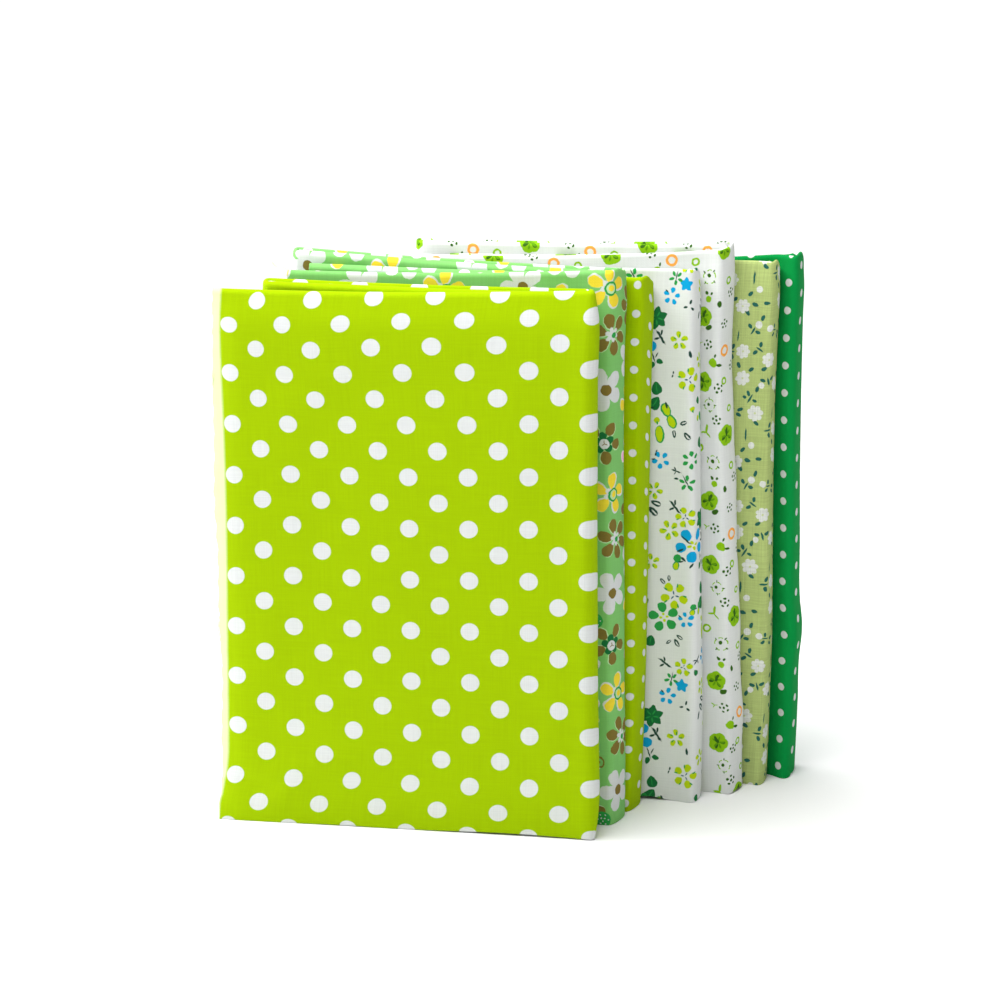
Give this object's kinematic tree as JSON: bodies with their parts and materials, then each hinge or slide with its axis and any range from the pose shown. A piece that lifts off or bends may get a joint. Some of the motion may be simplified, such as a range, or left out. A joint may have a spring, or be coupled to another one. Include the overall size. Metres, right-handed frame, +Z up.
{
  "type": "stack of folded fabric squares",
  "caption": "Printed cotton squares, each folded in thirds and then twice in half, standing on edge one behind another in a row that steps off to the right.",
  "frame": {"origin": "under the middle of the row's bounding box, on the surface that the folded squares stand on", "axes": "+X along the front square's face to its closed fold at the right, +Y from the front square to the rear one, +Z up"},
  "size_m": [0.1678, 0.073, 0.1717],
  "materials": {
    "lime_large_dot_cotton": "matte printed plain weave cotton, lime with large white dots",
    "sage_flower_cotton": "matte printed plain weave cotton, sage green with flowers",
    "lime_small_dot_cotton": "matte printed plain weave cotton, lime with small white dots",
    "white_sprig_cotton": "matte printed plain weave cotton, white with blossoms and sprigs",
    "white_rose_cotton": "matte printed plain weave cotton, white with small green roses",
    "straw_blossom_cotton": "matte printed linen-look cotton, straw green with white blossoms",
    "green_small_dot_cotton": "matte printed plain weave cotton, emerald with small white dots"
  },
  "bodies": {
    "root": {"pack_1_lime_large_dots": "lime_large_dot_cotton", "pack_2_sage_flowers": "sage_flower_cotton", "pack_3_lime_small_dots": "lime_small_dot_cotton", "pack_4_white_sprigs": "white_sprig_cotton", "pack_5_white_roses": "white_rose_cotton", "pack_6_straw_blossoms": "straw_blossom_cotton", "pack_7_green_small_dots": "green_small_dot_cotton"}
  },
  "joints": []
}
